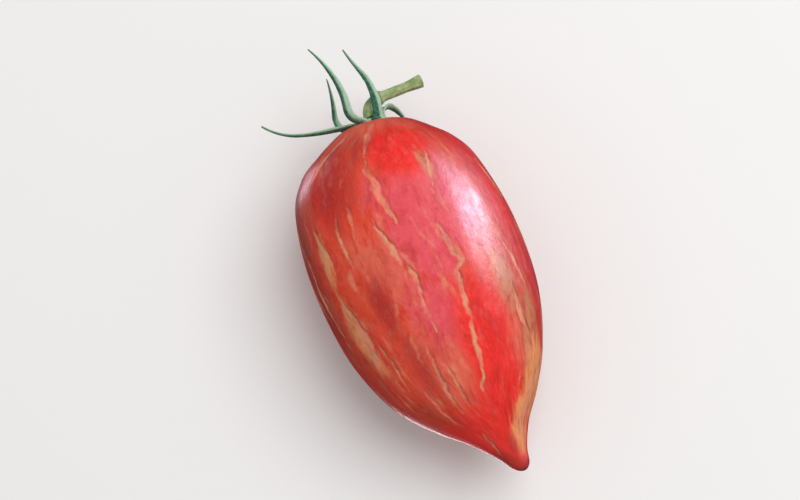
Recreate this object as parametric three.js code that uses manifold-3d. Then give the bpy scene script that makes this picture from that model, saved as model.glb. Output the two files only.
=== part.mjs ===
// A ripe striped plum tomato, as picked, lying on its side. It has three solids: the
// berry with its beaked tip, the calyx of six sepals on the stem end, and the stub of
// the fruit stalk with its knuckle.
// Millimetres, +Z up. +X runs from the beak towards the stalk, and the origin is the
// middle of the small flat spot that the berry rests on.
import * as THREE from "three";
import { mergeVertices } from "three/addons/utils/BufferGeometryUtils.js";
import Module from "manifold-3d";

// The berry: its two driving sizes, and its half section as shares of them. Each pair is
// the distance from the rim of the stem end, as a share of the length, and the radius
// there, as a share of the greatest radius.
const LENGTH = 106.5;
const RADIUS = 29.4;
const HALF_SECTION = [
  [0.012, 0],
  [0.009, 0.12],
  [0.0015, 0.225],
  [0.009, 0.33],
  [0.028, 0.44],
  [0.055, 0.57],
  [0.099, 0.752],
  [0.176, 0.903],
  [0.335, 1],
  [0.505, 0.985],
  [0.625, 0.898],
  [0.735, 0.735],
  [0.82, 0.515],
  [0.885, 0.3],
  [0.945, 0.15],
  [0.986, 0.08],
  [1, 0],
];
const SECTION_STEPS = 60;
const SIDES = 72;

// What keeps the berry from being turned on a lathe.
const BEAK_STARTS = 0.7 * LENGTH;
const BEAK_ASIDE = -4.2; // how far the tip stands off the axis, along Y
const BEAK_LIFT = 1.6; // and along Z
const PIT_ASIDE = -4.4; // how far the pit under the calyx is off the axis, along Y
const PIT_EDGE = 0.22 * RADIUS; // rings up to this radius move with the pit
const PIT_FADE = 0.95 * RADIUS; // and rings from this radius on stay
const SHOULDER_SLOPE = 0.18; // the shoulder's fall towards -Y, in mm a mm
const SLOPE_FADE = 18; // and the distance over which it fades
const LOCULES = [
  // the seed chambers show as a few soft swellings round the berry
  { count: 2, swell: 0.012, turn: 1.35 },
  { count: 3, swell: 0.011, turn: 0.1 },
];
const RIBS = { count: 5, swell: 0.02, turn: 0.9, middle: 9, fade: 13 };

// How it lies.
const REST_STATION = 45; // from the rim to the middle of the flat spot
const REST_ASIDE = 0; // from the axis to the middle of the flat spot, along Y
const REST_TILT = THREE.MathUtils.degToRad(2.5); // the tip hangs a little lower
const AXIS_HEIGHT = 28.05;
const FLAT_BLEND = 0.35; // height of the soft edge round the flat spot

// The calyx.
const DISC = [
  [0, 0.35],
  [3, 0.7],
  [4.2, 1.3],
  [4.3, 1.9],
  [3.4, 2.5],
  [2.5, 2.6],
  [0, 2.6],
];
const DISC_SIDES = 24;
const SEPAL_ROOT = 2.8; // radius and height at which the blades start, inside the disc
const SEPAL_HEIGHT = 1.8;
const SEPAL_STEPS = 18;
const SEPAL_THICK = 1; // at the root
const SEPAL_THIN = 0.65; // at the edges and the tip
const SEPAL_FOLD = 0.32; // how far the edges stand up from the midrib, as a share of half the width
const SEPAL_BENDS_AT = [0, 0.12, 0.3, 0.6, 1]; // shares of a blade's length
// around: from straight up, towards +Y. bends: the blade's angle from the pit's plane at
// each of the places above, so it leaves the disc low, curls up and bows back at its tip.
// sway: how far the tip stands aside. All angles are in degrees.
const SEPALS = [
  { around: -32, length: 25.5, width: 3.4, bends: [62, 76, 100, 129, 114], sway: -2, twist: -10 },
  { around: 46, length: 28.5, width: 3.6, bends: [4, 18, 98, 74, 52], sway: -4.2, twist: 62 },
  { around: 94, length: 30, width: 3.4, bends: [2, 2, 2, 9, 44], sway: 1.5, twist: 25 },
  { around: 136, length: 26.5, width: 3.4, bends: [0, 0, 8, 112, 98], sway: 3.5, twist: -50 },
  { around: 181, length: 24, width: 4.2, bends: [8, 9, 12, 20, 34], sway: 2, twist: 12 },
  { around: 224, length: 13.5, width: 5, bends: [84, 68, 34, -35, -80], sway: -1.5, twist: -10 },
];

// The fruit stalk: points of its middle line, from the disc, in mm outwards, along Y and up.
const STALK_LINE = [
  [3.3, 0.6, 0],
  [5, 0.75, -0.1],
  [6.8, 0.1, -0.6],
  [8.3, -2.4, -1.5],
  [9.2, -6.4, -2.7],
  [10.1, -10.8, -4],
  [11.1, -15.6, -5],
];
const STALK_RADIUS = 1.45;
const STALK_FOOT = 0.6; // how much wider it is where it meets the calyx
const STALK_END = 0.45; // and at the cut
const KNUCKLE_AT = 0.34; // share of the stalk's length
const KNUCKLE_SWELL = 0.75;
const STALK_STEPS = 34;
const STALK_SIDES = 12;

const { clamp, degToRad, lerp, smoothstep } = THREE.MathUtils;

const wasm = await Module();
wasm.setup();

// A closed three.js geometry as a solid for cutting and joining.
function solidOf(geometry) {
  const bare = geometry.index ? geometry.toNonIndexed() : geometry.clone();
  bare.deleteAttribute("normal");
  bare.deleteAttribute("uv");
  const merged = mergeVertices(bare, 1e-4);
  return new wasm.Manifold(
    new wasm.Mesh({
      numProp: 3,
      vertProperties: merged.attributes.position.array,
      triVerts: new Uint32Array(merged.index.array),
    }),
  );
}

function geometryOf(solid) {
  const { vertProperties, triVerts } = solid.getMesh();
  const geometry = new THREE.BufferGeometry();
  geometry.setAttribute("position", new THREE.BufferAttribute(vertProperties, 3));
  geometry.setIndex(new THREE.BufferAttribute(triVerts, 1));
  geometry.computeVertexNormals();
  return geometry;
}

// A closed skin over a row of rings, each an array of as many points, with both ends
// closed by a fan round the ring's middle.
function loft(rings) {
  const sides = rings[0].length;
  const points = rings.flat();
  const faces = [];
  for (let ring = 0; ring < rings.length - 1; ring++)
    for (let side = 0; side < sides; side++) {
      const a = ring * sides + side;
      const b = ring * sides + ((side + 1) % sides);
      faces.push(a, b, a + sides, b, b + sides, a + sides);
    }
  for (const [ring, flip] of [[0, true], [rings.length - 1, false]]) {
    const middle = points.length;
    const sum = rings[ring].reduce((total, p) => total.add(p), new THREE.Vector3());
    points.push(sum.divideScalar(sides));
    for (let side = 0; side < sides; side++) {
      const a = ring * sides + side;
      const b = ring * sides + ((side + 1) % sides);
      faces.push(...(flip ? [b, a, middle] : [a, b, middle]));
    }
  }
  return new THREE.BufferGeometry().setFromPoints(points).setIndex(faces);
}

// The berry's half section, smooth through its points. The neighbours of the first and
// last point are repeated across the axis, so the curve meets the axis square on.
function halfSection() {
  const across = ([station, radius]) => [station, -radius];
  const row = [across(HALF_SECTION[1]), ...HALF_SECTION, across(HALF_SECTION.at(-2))];
  const curve = new THREE.SplineCurve(
    row.map(([station, radius]) => new THREE.Vector2(radius * RADIUS, station * LENGTH)),
  );
  const spans = row.length - 1;
  return Array.from({ length: SECTION_STEPS + 1 }, (_, step) => {
    const point = curve.getPoint((1 + ((spans - 2) * step) / SECTION_STEPS) / spans);
    if (step === 0 || step === SECTION_STEPS) point.x = 0;
    return point;
  });
}

// Where a point of the turned berry goes on the real one. The turned point is given by
// its distance from the rim, its radius, and its angle from straight up towards +Y.
function growBerry(station, radius, angle) {
  let swelling = 1;
  for (const { count, swell, turn } of LOCULES)
    swelling += swell * Math.cos(count * (angle - turn));
  const nearRibs = Math.exp(-(((station - RIBS.middle) / RIBS.fade) ** 2));
  swelling += RIBS.swell * nearRibs * Math.cos(RIBS.count * (angle - RIBS.turn));
  const beak = clamp((station - BEAK_STARTS) / (LENGTH - BEAK_STARTS), 0, 1) ** 1.6;
  const pit = station < LENGTH / 2 ? 1 - smoothstep(radius, PIT_EDGE, PIT_FADE) : 0;
  const y = radius * swelling * Math.sin(angle) + BEAK_ASIDE * beak + PIT_ASIDE * pit;
  const z = radius * swelling * Math.cos(angle) + BEAK_LIFT * beak;
  const slope = SHOULDER_SLOPE * Math.exp(-Math.max(station, 0) / SLOPE_FADE);
  return new THREE.Vector3(slope * y - station, y, z);
}

// From the berry's own frame, with X along its axis from the rim, to how it lies.
const laid = new THREE.Matrix4()
  .makeTranslation(0, 0, AXIS_HEIGHT)
  .multiply(new THREE.Matrix4().makeRotationY(-REST_TILT))
  .multiply(new THREE.Matrix4().makeTranslation(REST_STATION, -REST_ASIDE, 0));

// A height over the surface that the berry lies on: at or over 0, with a soft edge.
function pressFlat(height) {
  if (height >= FLAT_BLEND) return height;
  if (height <= -FLAT_BLEND) return 0;
  return (height + FLAT_BLEND) ** 2 / (4 * FLAT_BLEND);
}

function berryGeometry() {
  const geometry = new THREE.LatheGeometry(halfSection(), SIDES);
  const position = geometry.getAttribute("position");
  const raised = laid.clone().invert();
  for (let i = 0; i < position.count; i++) {
    const turned = new THREE.Vector3().fromBufferAttribute(position, i);
    const radius = Math.hypot(turned.x, turned.z);
    const grown = growBerry(turned.y, radius, Math.atan2(turned.x, turned.z));
    grown.applyMatrix4(laid);
    grown.z = pressFlat(grown.z);
    grown.applyMatrix4(raised);
    position.setXYZ(i, ...grown);
  }
  geometry.deleteAttribute("normal");
  geometry.deleteAttribute("uv");
  const whole = mergeVertices(geometry, 1e-3);
  whole.computeVertexNormals();
  return whole;
}

// A blade's angle from the pit's plane, in degrees, at a share of its length.
function sepalBend(bends, share) {
  const next = Math.max(1, SEPAL_BENDS_AT.findIndex((at) => at >= share));
  const [start, end] = [SEPAL_BENDS_AT[next - 1], SEPAL_BENDS_AT[next]];
  return lerp(bends[next - 1], bends[next], (share - start) / (end - start));
}

// A blade's middle line, which leaves the disc and turns through its bends, with the
// direction that its width lies along. X is outwards from the pit.
function sepalLine({ around, length, bends, sway, twist }) {
  const turn = degToRad(around);
  const outward = new THREE.Vector3(1, 0, 0);
  const radial = new THREE.Vector3(0, Math.sin(turn), Math.cos(turn));
  const aside = new THREE.Vector3().crossVectors(outward, radial);
  const step = length / SEPAL_STEPS;
  let run = SEPAL_ROOT;
  let rise = SEPAL_HEIGHT;
  return Array.from({ length: SEPAL_STEPS + 1 }, (_, i) => {
    const share = i / SEPAL_STEPS;
    const angle = degToRad(sepalBend(bends, share));
    const along = new THREE.Vector3()
      .addScaledVector(radial, Math.cos(angle))
      .addScaledVector(outward, Math.sin(angle));
    const middle = new THREE.Vector3()
      .addScaledVector(radial, run)
      .addScaledVector(outward, rise)
      .addScaledVector(aside, sway * share ** 2);
    run += step * Math.cos(angle);
    rise += step * Math.sin(angle);
    const across = aside.clone().applyAxisAngle(along, degToRad(twist) * share);
    return { share, middle, across, up: new THREE.Vector3().crossVectors(along, across) };
  });
}

// A blade is widest near its root, folded along its midrib, and runs out to a fine tip.
function sepalGeometry(sepal) {
  const rings = sepalLine(sepal).map(({ share, middle, across, up }) => {
    const half = (sepal.width / 2) * (0.1 + 0.9 * (1 - share) ** 0.95);
    const thick = SEPAL_THICK + (SEPAL_THIN - SEPAL_THICK) * share;
    const fold = SEPAL_FOLD * half * Math.sin(Math.PI * share);
    const at = (side, height) =>
      middle.clone().addScaledVector(across, side * half).addScaledVector(up, height);
    return [
      at(-1, fold - SEPAL_THIN / 2),
      at(-0.5, fold / 2 - thick / 2),
      at(0, -thick / 2),
      at(0.5, fold / 2 - thick / 2),
      at(1, fold - SEPAL_THIN / 2),
      at(1, fold + SEPAL_THIN / 2),
      at(0.5, fold / 2 + thick / 2),
      at(0, thick / 2),
      at(-0.5, fold / 2 + thick / 2),
      at(-1, fold + SEPAL_THIN / 2),
    ];
  });
  return loft(rings);
}

function calyxGeometry() {
  const outline = DISC.map(([radius, height]) => new THREE.Vector2(radius, height));
  const disc = new THREE.LatheGeometry(outline, DISC_SIDES).rotateZ(-Math.PI / 2);
  let calyx = solidOf(disc);
  for (const sepal of SEPALS) calyx = calyx.add(solidOf(sepalGeometry(sepal)));
  return geometryOf(calyx);
}

// A round stalk that flares where it meets the calyx, swells at the knuckle where it
// would drop, and widens again to the cut.
function stalkRadius(share) {
  const foot = STALK_FOOT * Math.exp(-((share / 0.09) ** 2));
  const knuckle = KNUCKLE_SWELL * Math.exp(-(((share - KNUCKLE_AT) / 0.06) ** 2));
  const end = STALK_END * smoothstep(share, 0.75, 1);
  return STALK_RADIUS + foot + knuckle + end;
}

function stalkGeometry() {
  const line = new THREE.CatmullRomCurve3(STALK_LINE.map((p) => new THREE.Vector3(...p)));
  const { normals, binormals } = line.computeFrenetFrames(STALK_STEPS);
  const rings = normals.map((normal, i) => {
    const share = i / STALK_STEPS;
    const middle = line.getPointAt(share);
    return Array.from({ length: STALK_SIDES }, (_, side) => {
      const angle = (2 * Math.PI * side) / STALK_SIDES;
      return middle
        .clone()
        .addScaledVector(normal, stalkRadius(share) * Math.cos(angle))
        .addScaledVector(binormals[i], stalkRadius(share) * Math.sin(angle));
    });
  });
  return loft(rings);
}

const skin = new THREE.MeshStandardMaterial({ color: 0xc8322b, roughness: 0.3, metalness: 0 });
const leaf = new THREE.MeshStandardMaterial({ color: 0x4c7a45, roughness: 0.65, metalness: 0 });
const stem = new THREE.MeshStandardMaterial({ color: 0x8fa765, roughness: 0.6, metalness: 0 });

const berry = new THREE.Mesh(berryGeometry(), skin);
berry.name = "berry";
const calyx = new THREE.Mesh(calyxGeometry(), leaf);
calyx.name = "calyx";
const stalk = new THREE.Mesh(stalkGeometry(), stem);
stalk.name = "fruit_stalk";

// The calyx and the stalk share the pit's own frame, whose X stands square to its floor.
const pit = new THREE.Group();
pit.position.copy(growBerry(HALF_SECTION[0][0] * LENGTH, 0, 0));
pit.rotation.z = -Math.atan(SHOULDER_SLOPE);
pit.add(calyx, stalk);

const tomato = new THREE.Group();
tomato.name = "striped_plum_tomato";
tomato.applyMatrix4(laid);
tomato.add(berry, pit);

export default tomato;
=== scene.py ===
# %% [markdown]
# # A ripe striped plum tomato, as picked
#
# The model is a long plum tomato with a beaked tip. It lies on its side with its calyx and
# a stub of its stalk still on. Three things make it read as real: the uneven form of the
# berry, the golden stripes that run from stalk to beak under a waxy gloss, and the thin
# folded sepals. The solid model gives their shapes and places. This script grows each of
# them again from the same measures with a much finer mesh, and gives it its finish.

# %% Load the solid model
import math

import bmesh
import bpy
import numpy as np
from mathutils import Matrix, Vector


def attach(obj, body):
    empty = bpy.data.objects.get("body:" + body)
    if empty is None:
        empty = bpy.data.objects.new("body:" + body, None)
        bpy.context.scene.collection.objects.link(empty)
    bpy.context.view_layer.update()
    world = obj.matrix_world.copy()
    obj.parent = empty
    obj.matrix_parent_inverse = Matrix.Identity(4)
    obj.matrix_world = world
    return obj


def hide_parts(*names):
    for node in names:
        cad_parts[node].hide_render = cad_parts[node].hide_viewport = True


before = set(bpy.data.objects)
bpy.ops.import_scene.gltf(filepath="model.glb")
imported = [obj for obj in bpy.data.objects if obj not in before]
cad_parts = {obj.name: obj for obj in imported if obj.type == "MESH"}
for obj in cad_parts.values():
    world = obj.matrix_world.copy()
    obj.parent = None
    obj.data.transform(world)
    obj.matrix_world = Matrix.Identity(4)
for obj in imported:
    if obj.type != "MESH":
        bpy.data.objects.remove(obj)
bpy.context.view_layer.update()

# %% [markdown]
# ## Units, chance and colour
#
# Blender works in metres, and a tomato is measured in millimetres. Each piece is worked
# out in millimetres and shrunk when it becomes a mesh. All chance comes from one seeded
# generator, so every run grows the same fruit. Colours are picked as sRGB hex values, as
# a colour picker shows them, and shaders want linear light, so one function turns them.

# %% Small helpers
MM = 0.001
chance = np.random.default_rng(20)


def linear(hex_colour):
    """A linear RGBA colour from an sRGB hex value."""
    levels = [int(hex_colour[i : i + 2], 16) / 255 for i in (1, 3, 5)]
    return [c / 12.92 if c <= 0.04045 else ((c + 0.055) / 1.055) ** 2.4 for c in levels] + [1.0]


def smooth(value, low, high):
    """0 below low, 1 above high, and a soft step between them."""
    share = np.clip((value - low) / (high - low), 0, 1)
    return share * share * (3 - 2 * share)


def smooth_curve(row, steps, fine):
    """Evenly spaced places on a smooth curve through a row of places. The first and the last
    of the row only lead it in and out."""
    share = np.linspace(0, len(row) - 3, fine)
    i = np.minimum(share.astype(int), len(row) - 4)
    u = (share - i)[:, None]
    before, start, end, after = (row[i + k] for k in range(4))
    leave, arrive = (end - before) / 2, (after - start) / 2
    curve = start + leave * u + (3 * (end - start) - 2 * leave - arrive) * u**2
    curve += (2 * (start - end) + leave + arrive) * u**3
    run = np.concatenate([[0], np.cumsum(np.linalg.norm(np.diff(curve, axis=0), axis=1))])
    even = np.linspace(0, run[-1], steps + 1)
    return np.stack([np.interp(even, run, column) for column in curve.T], axis=1)


def make_piece(name, points, faces):
    """A smooth-shaded object from points in millimetres."""
    mesh = bpy.data.meshes.new(name)
    mesh.from_pydata(np.asarray(points) * MM, [], faces)
    mesh.validate()
    mesh.shade_smooth()
    piece = bpy.data.objects.new(name, mesh)
    bpy.context.scene.collection.objects.link(piece)
    return piece


def loft(rings):
    """Points and faces of a closed skin over rings of equal count, with a fan at each end."""
    count, sides = rings.shape[:2]
    points = np.vstack([rings.reshape(-1, 3), rings[0].mean(0), rings[-1].mean(0)])
    faces = []
    for side in range(sides):
        after = (side + 1) % sides
        for ring in range(count - 1):
            a, b = ring * sides, (ring + 1) * sides
            faces.append((a + side, a + after, b + after, b + side))
        last = (count - 1) * sides
        faces.append((after, side, count * sides))
        faces.append((last + side, last + after, count * sides + 1))
    return points, faces


def add_field(piece, name, values):
    """Stores one number, or one vector, for each point, for the shader to read."""
    kind = "FLOAT" if np.ndim(values) == 1 else "FLOAT_VECTOR"
    field = piece.data.attributes.new(name, kind, "POINT")
    key = "value" if kind == "FLOAT" else "vector"
    field.data.foreach_set(key, np.asarray(values, np.float32).ravel())


# %% [markdown]
# ## The berry's form
#
# A plum tomato is close to a turned shape, so a lathe is a fair start, but a pure lathe
# looks machined. The real one is swollen by its seed chambers, its shoulder slopes, the
# pit under the calyx is off the middle, and the beak leans. The half section and all of
# those measures are the solid model's own, so the fine berry fills the same space.

# %% Measures of the berry
LENGTH = 106.5
RADIUS = 29.4
HALF_SECTION = [  # distance from the rim as a share of the length, and share of the radius
    (0.012, 0), (0.009, 0.12), (0.0015, 0.225), (0.009, 0.33), (0.028, 0.44),
    (0.055, 0.57), (0.099, 0.752), (0.176, 0.903), (0.335, 1), (0.505, 0.985),
    (0.625, 0.898), (0.735, 0.735), (0.82, 0.515), (0.885, 0.3), (0.945, 0.15),
    (0.986, 0.08), (1, 0),
]
BEAK_STARTS = 0.7 * LENGTH
BEAK_ASIDE, BEAK_LIFT, BEAK_CURL = -4.2, 1.6, 1.6
PIT_ASIDE = -4.4
PIT_EDGE, PIT_FADE = 0.22 * RADIUS, 0.95 * RADIUS  # between these the pit's shift fades out
SHOULDER_SLOPE, SLOPE_FADE = 0.18, 18
LOCULES = [(2, 0.012, 1.35), (3, 0.011, 0.1)]  # count, swelling and turn
RIB_COUNT, RIB_SWELL, RIB_TURN, RIB_MIDDLE, RIB_FADE = 5, 0.02, 0.9, 9, 13
REST_STATION = 45
REST_TILT = math.radians(2.5)
AXIS_HEIGHT = 28.05
FLAT_BLEND = 0.35


def half_section(steps):
    """Stations and radii of the half section, evenly spaced along a smooth curve."""
    corners = np.array(HALF_SECTION) * (LENGTH, RADIUS)
    row = np.vstack([corners[1] * (1, -1), corners, corners[-2] * (1, -1)])
    stations, radii = smooth_curve(row, steps, 4000).T
    return stations, np.maximum(radii, 0)


def grow(station, radius, angle):
    """Where a point of the turned berry goes on the real one. Angles run from up to +Y."""
    swelling = 1.0
    for count, swell, turn in LOCULES:
        swelling = swelling + swell * np.cos(count * (angle - turn))
    near_ribs = np.exp(-(((station - RIB_MIDDLE) / RIB_FADE) ** 2))
    swelling = swelling + RIB_SWELL * near_ribs * np.cos(RIB_COUNT * (angle - RIB_TURN))
    beak = np.clip((station - BEAK_STARTS) / (LENGTH - BEAK_STARTS), 0, 1) ** BEAK_CURL
    pit = np.where(station < LENGTH / 2, 1 - smooth(radius, PIT_EDGE, PIT_FADE), 0)
    y = radius * swelling * np.sin(angle) + BEAK_ASIDE * beak + PIT_ASIDE * pit
    z = radius * swelling * np.cos(angle) + BEAK_LIFT * beak
    slope = SHOULDER_SLOPE * np.exp(-np.maximum(station, 0) / SLOPE_FADE)
    return np.stack([slope * y - station, y, z], axis=-1)


def lay(points):
    """From the berry's own axis to how it lies on the surface."""
    turned = points + (REST_STATION, 0, 0)
    c, s = math.cos(REST_TILT), math.sin(REST_TILT)
    x, y, z = turned[..., 0], turned[..., 1], turned[..., 2]
    return np.stack([x * c - z * s, y, x * s + z * c + AXIS_HEIGHT], axis=-1)


def press_flat(points):
    """Lifts what would sink below the surface, with a soft edge round the flat spot."""
    height = points[..., 2]
    soft = (height + FLAT_BLEND) ** 2 / (4 * FLAT_BLEND)
    pressed = np.where(height >= FLAT_BLEND, height, np.where(height <= -FLAT_BLEND, 0, soft))
    return np.stack([points[..., 0], points[..., 1], pressed], axis=-1)


# %% [markdown]
# ## The berry's skin in the mesh
#
# A gloss shows every unevenness of what lies under it. The skin of a ripe plum tomato is
# drawn over long, shallow waves from stalk to beak, a few hundredths of a millimetre high,
# and it puckers round the pit. They are made in the mesh and not as bump, so they also
# bend the outline and the highlights. A sum of a few waves that wander along the fruit is
# enough, and it needs no noise texture.

# %% Grow the berry
RINGS, SIDES = 256, 384
WAVES = 9
WAVE_COUNTS = 7, 24  # crests round the berry, from the first number to below the second
WAVE_HEIGHT = 0.021875  # mm
WAVES_FADE = 4, 20  # the waves start at the first radius, and are full from the second
PUCKERS, PUCKER_HEIGHT = 11, 0.22  # how many, and mm
PUCKER_MIDDLE, PUCKER_REACH = 8.5, 3.6  # radius of the puckered band, and its half width

stations, radii = half_section(RINGS)
inner = slice(1, -1)
station = np.repeat(stations[inner, None], SIDES, axis=1)
radius = np.repeat(radii[inner, None], SIDES, axis=1)
angle = np.repeat(np.linspace(0, 2 * np.pi, SIDES, endpoint=False)[None], RINGS - 1, axis=0)

relief = np.zeros_like(station)
for _ in range(WAVES):
    count = chance.integers(*WAVE_COUNTS)
    wander = chance.uniform(0.4, 1.2) * np.sin(station / chance.uniform(14, 30) + chance.uniform(0, 6))
    relief += WAVE_HEIGHT * np.cos(count * angle + wander * 2 + chance.uniform(0, 6))
relief *= smooth(radius, *WAVES_FADE)
near_pit = np.exp(-(((radius - PUCKER_MIDDLE) / PUCKER_REACH) ** 2)) * (station < LENGTH / 2)
relief -= PUCKER_HEIGHT * near_pit * np.abs(np.cos(PUCKERS / 2 * angle + np.sin(2 * angle))) ** 3

skin_points = press_flat(lay(grow(station, radius + relief, angle)))
berry_points, berry_faces = loft(skin_points)
ends = press_flat(lay(grow(stations[[0, -1]], radii[[0, -1]], np.zeros(2))))
berry_points[-2:] = ends
berry = make_piece("tomato_berry", berry_points, [face[::-1] for face in berry_faces])
print("berry:", len(berry_points), "points, relief", round(float(np.abs(relief).max()), 3), "mm")

# %% [markdown]
# ## Where the stripes run
#
# The stripes are torn, wandering lines, one to four millimetres wide, that start and stop
# on their way from stalk to beak. Painting them needs an image. Here each one is a short
# list of places on the skin, and every point of the mesh stores how far it lies inside
# the nearest stripe's edge. That distance changes evenly, so it stays sharp between
# points, and the shader can tear the edge with fine noise. The stripes of the upper side
# are listed one by one. The rest of the berry gets more of the same kind by chance.

# %% Stripes listed one by one
# Each place is the distance from the rim in mm, degrees round from straight up towards
# +Y, and the width there in mm.
STRIPES = [
    [(37, -18, 0.2), (40.5, -19, 1.4), (44, -20, 2.2), (47.5, -22.5, 2.6), (49, -23, 1.9),
     (49.8, -19.5, 1.1), (50.8, -17, 1.3), (55, -16.5, 1.6), (60, -15, 1.4), (61.5, -14.5, 1.7),
     (63.5, -16.5, 0.7), (65, -14.5, 0.9), (67, -13.5, 1.7), (71, -12.5, 1.5), (74.5, -13, 1.6),
     (77, -11, 1.2), (79, -10.5, 0.8), (81, -7, 0.9), (83, -5.5, 0.2)],
    [(2.5, 0, 1), (6, 3.5, 1.9), (9, 3.5, 1.4), (12.5, 5.5, 0.4)],
    [(14, 6, 0.4), (17, 7, 1.6), (19, 4.5, 1.3), (21.5, 5, 2.2), (25, 4.5, 1.9), (27.5, 3.5, 1.7),
     (31, 2.5, 1), (34, 1.5, 0.2)],
    [(29.5, 13.5, 0.2), (33, 12.5, 0.9), (36, 11, 1.3), (39, 9.5, 1.7), (42, 8.5, 1.1),
     (45, 8, 0.6), (48, 8.5, 0.2)],
    [(24, 24, 0.4), (26.5, 24.5, 1.1), (29, 25, 0.7), (33, 26.5, 0.2)],
    [(25.5, 34, 0.3), (29.5, 35.5, 1.1), (33.5, 35, 1.3), (37.5, 34, 0.9), (40, 33, 0.2)],
    [(25, 53, 0.3), (28, 52, 1), (31.5, 49.5, 1.9), (35.5, 47, 1.7), (39.5, 47, 0.2)],
    [(44.5, 6.5, 0.2), (47, 4.5, 1), (50.5, 4, 0.9), (53.5, 5.5, 0.8), (57, 6, 0.9),
     (60, 6, 0.6), (64, 5.5, 0.2)],
    [(66.5, 15, 0.2), (71, 16, 0.8), (75, 17, 1), (77, 16.5, 0.7), (78.5, 19, 1.1),
     (82, 20, 0.8), (86, 21, 0.2)],
    [(72, 11, 0.2), (76, 9, 0.6), (80, 9.5, 0.8), (85, 10.5, 0.2)],
    [(61, 41, 0.2), (66, 40, 0.7), (70, 41, 0.7), (75, 43, 0.2)],
    [(44, 53, 0.4), (48.5, 50, 1.5), (53, 47.5, 2.2), (57, 47, 2.9), (61, 48, 2.6), (65, 52, 1.5),
     (69, 55, 0.3)],
    [(72, 55, 0.2), (77, 56, 0.9), (80.5, 58, 0.2)],
    [(76, 33, 0.2), (80.5, 34, 0.9), (84, 36.5, 1), (88, 35, 0.2)],
    [(93, 25, 0.2), (97, 31, 0.7), (100, 40, 0.2)],
    [(46.5, -44, 0.3), (52, -42, 1.1), (57, -40, 0.9), (61.5, -38, 0.3)],
    [(46, -52, 0.3), (51.5, -56, 1.4), (56.5, -59, 1.4), (61, -63, 0.3)],
    [(58, -49, 0.3), (63.5, -49.5, 1.5), (68, -50, 2), (72.5, -57, 0.4)],
    [(59, -76, 0.5), (67.5, -81, 1.3), (75.5, -86, 2.3), (81, -80, 2.8), (86.5, -65, 2.8),
     (91, -56, 2.6), (94.5, -49, 2.1), (99, -50, 1.5), (103, -60, 0.4)],
    [(16, -33, 0.3), (21.5, -28.5, 1.3), (27, -26, 0.3)],
    [(3, 31, 0.4), (7.5, 39, 1.3), (11, 43, 1.3), (15.5, 50, 0.4)],
]
print("stripes placed by hand:", len(STRIPES))

# %% More stripes by chance, round the sides that the first set leaves bare
HAND_SIDE = 68  # degrees each way from straight up that the first set fills
MORE_STRIPES = 46
for _ in range(MORE_STRIPES):
    at = chance.uniform(4, 78)
    turn = chance.uniform(HAND_SIDE, 360 - HAND_SIDE)
    length = chance.uniform(10, 34) * (1 if at > 12 else 0.7)
    widest = chance.choice([0.8, 1.1, 1.6, 2.6], p=[0.3, 0.35, 0.25, 0.1])
    drift = chance.uniform(-0.25, 0.25)
    knots = []
    for share in np.linspace(0, 1, max(4, int(length / 4))):
        width = widest * math.sin(math.pi * min(1, 0.06 + share * 0.9)) ** 0.6
        knots.append((min(at + length * share, 103), turn, width * chance.uniform(0.6, 1.2)))
        turn += drift * length / 4 + chance.normal(0, 2)
    STRIPES.append(knots)
print("stripes in all:", len(STRIPES))

# %% Tear the stripes a little
TEAR_EVERY = 1.1  # mm between the small sideways steps of a stripe
TEAR = 0.13  # mm, how far it steps
past_rim = stations > 3  # where the stations only rise


def torn(stripe):
    """The stripe with more places along it, each set a little aside and a little wider."""
    stripe = np.array(stripe, float)
    across = np.diff(np.radians(stripe[:, 1])) * RADIUS
    run = np.concatenate([[0], np.cumsum(np.hypot(np.diff(stripe[:, 0]), across))])
    steps = np.linspace(0, run[-1], max(3, int(run[-1] / TEAR_EVERY)))
    along, around, width = (np.interp(steps, run, stripe[:, k]) for k in range(3))
    local = np.interp(along, stations[past_rim], radii[past_rim])
    around = np.radians(around) + chance.normal(0, TEAR, len(steps)) / np.maximum(local, 3)
    width = width * chance.uniform(0.7, 1.25, len(steps))
    return np.stack([along, around, width / 2], axis=1)


torn_stripes = [torn(stripe) for stripe in STRIPES]
print("places along the stripes:", sum(len(stripe) for stripe in torn_stripes))

# %% Faint streaks between the stripes, all round the berry
FAINT_STREAKS = 120
faint_streaks = []
for _ in range(FAINT_STREAKS):
    at, turn = chance.uniform(3, 88), chance.uniform(0, 360)
    length = chance.uniform(5, 20)
    widest = chance.uniform(0.6, 2.2)
    drift = chance.normal(0, 0.25)
    knots = []
    for share in np.linspace(0, 1, max(4, int(length / 3))):
        width = widest * math.sin(math.pi * (0.04 + share * 0.92))
        knots.append((min(at + length * share, 103), turn, width))
        turn += drift * length / 3 + chance.normal(0, 1.5)
    faint_streaks.append(torn(knots))
print("faint streaks:", len(faint_streaks))


# %% Measure how far inside the nearest stripe each point of the skin lies
FAR = 9.0  # mm, past which the distance to a stripe doesn't matter


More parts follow.
